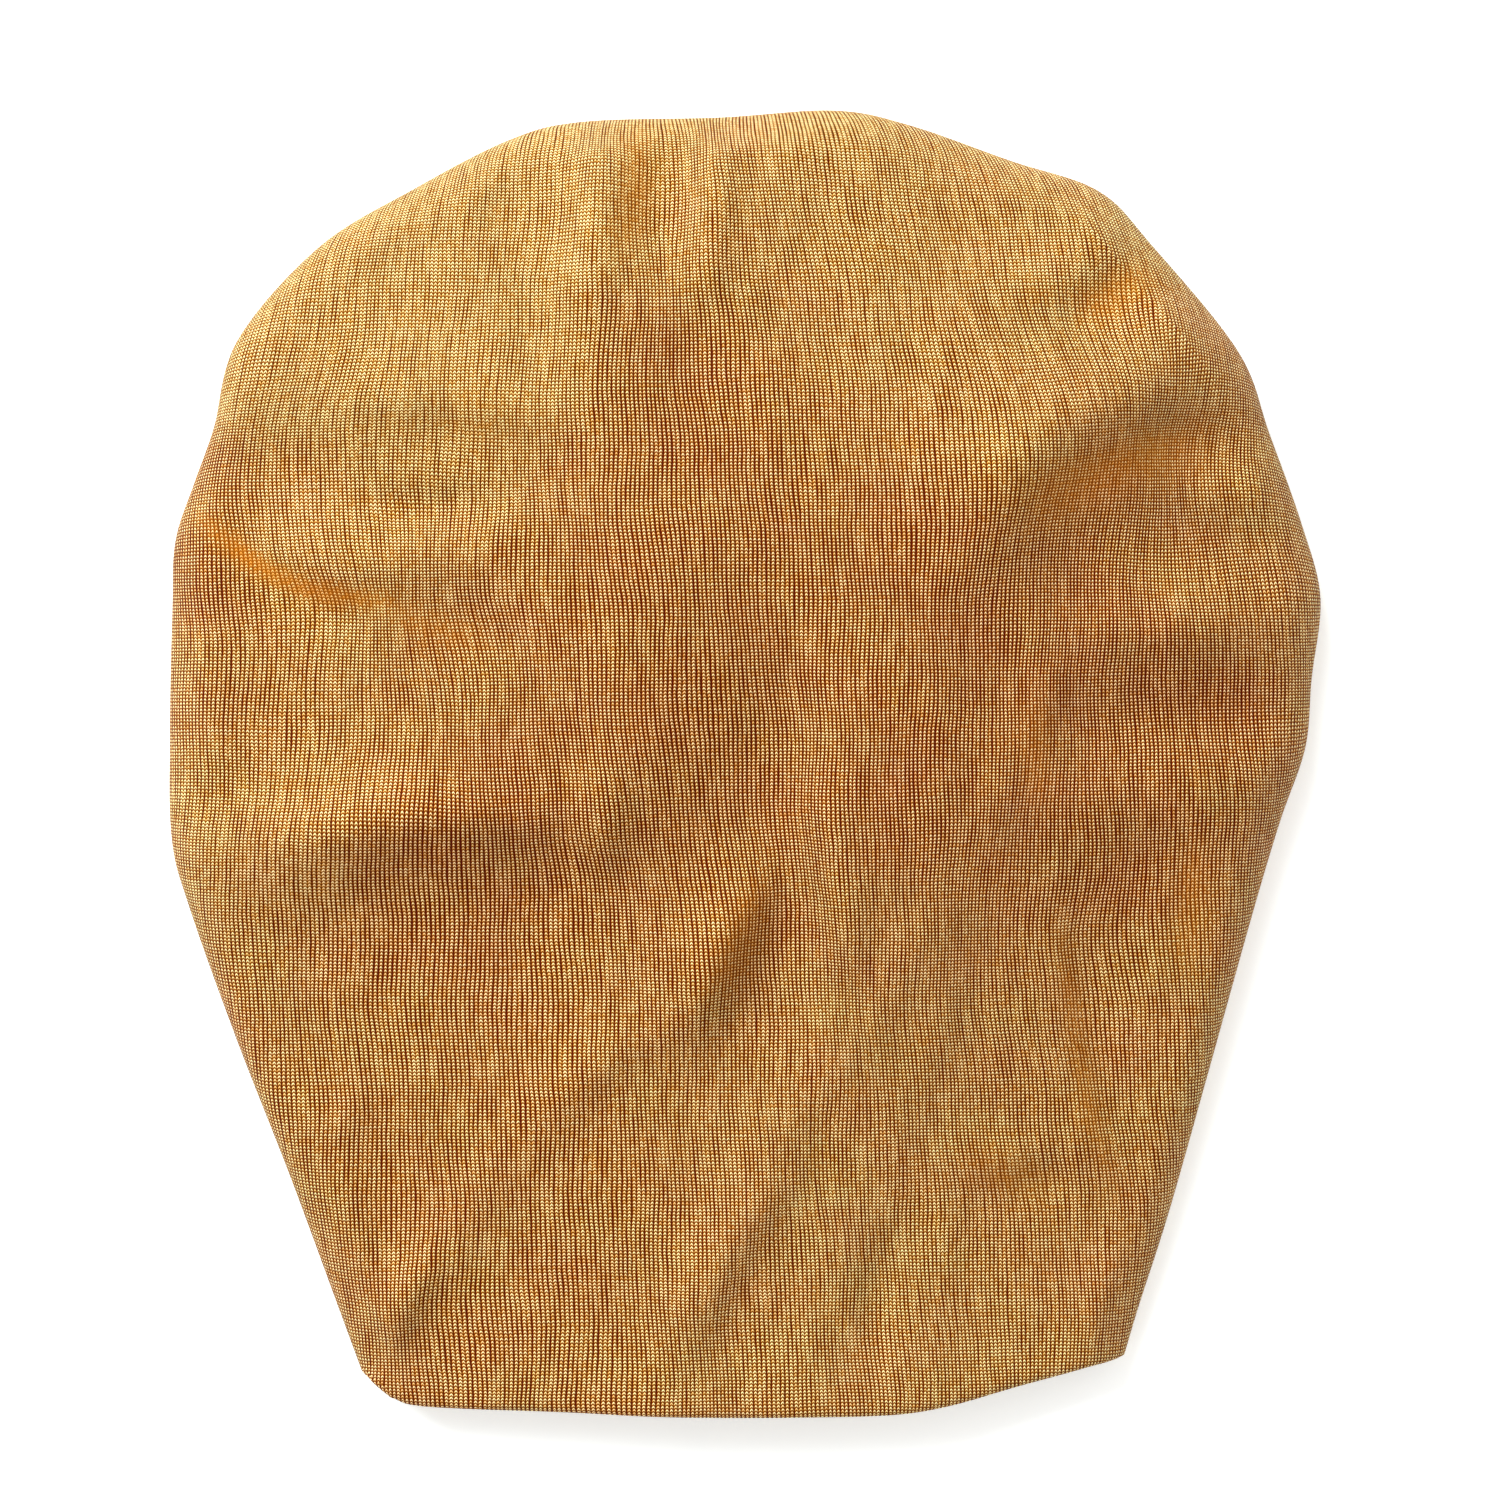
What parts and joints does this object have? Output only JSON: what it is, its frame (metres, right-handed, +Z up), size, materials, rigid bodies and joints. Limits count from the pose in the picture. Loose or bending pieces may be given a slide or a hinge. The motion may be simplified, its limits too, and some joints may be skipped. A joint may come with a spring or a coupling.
{
  "type": "baby turban cap",
  "caption": "Soft baby cap of fine golden jersey knit, laid flat: a rounded crown that narrows to an open head opening, with soft folds over its front.",
  "frame": {"origin": "on the table under the middle of the cap's box", "axes": "+Y from the head opening to the crown, +Z up off the table through the upper wall, +X to the right as the cap lies face up"},
  "size_m": [0.1838, 0.2084, 0.028],
  "materials": {
    "jersey": "fine single-jersey knit in shiny golden mustard yarn, bright loops between dark wale gaps"
  },
  "bodies": {
    "root": {"crown": "jersey"}
  },
  "joints": []
}
